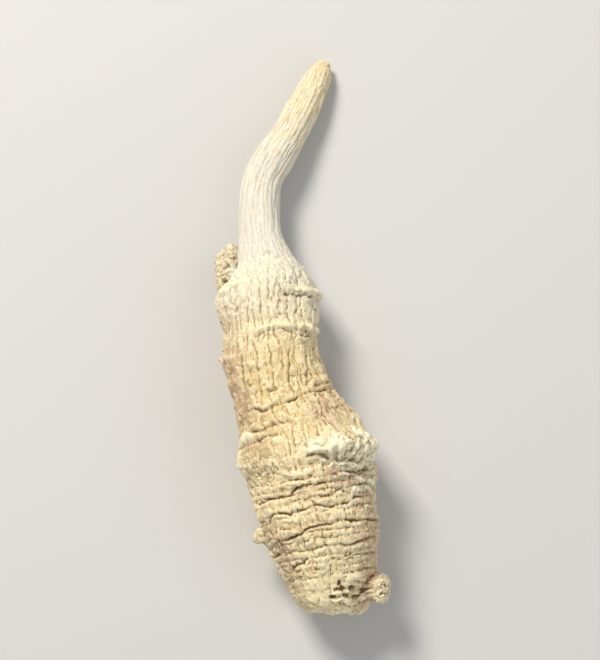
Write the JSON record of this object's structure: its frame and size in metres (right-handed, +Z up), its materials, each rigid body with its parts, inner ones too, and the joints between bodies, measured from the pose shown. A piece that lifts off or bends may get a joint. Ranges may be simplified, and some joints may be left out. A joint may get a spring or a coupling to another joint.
{
  "type": "ginseng root",
  "caption": "Dried ginseng root lying on its side: a ringed, furrowed body with a swollen collar, trimmed rootlet stumps and a slender curved tail.",
  "frame": {"origin": "on the surface that the root lies on, at the middle of the flat spot under the thick ringed part", "axes": "+Z up from the surface, +Y along the root from its crown to its tail, +X to the right seen from above"},
  "size_m": [0.0231, 0.075, 0.0157],
  "materials": {
    "root_skin": "dry, matte, wrinkled skin, pale tan with dark brown creases"
  },
  "bodies": {
    "root": {"ginseng_root": "root_skin"}
  },
  "joints": []
}
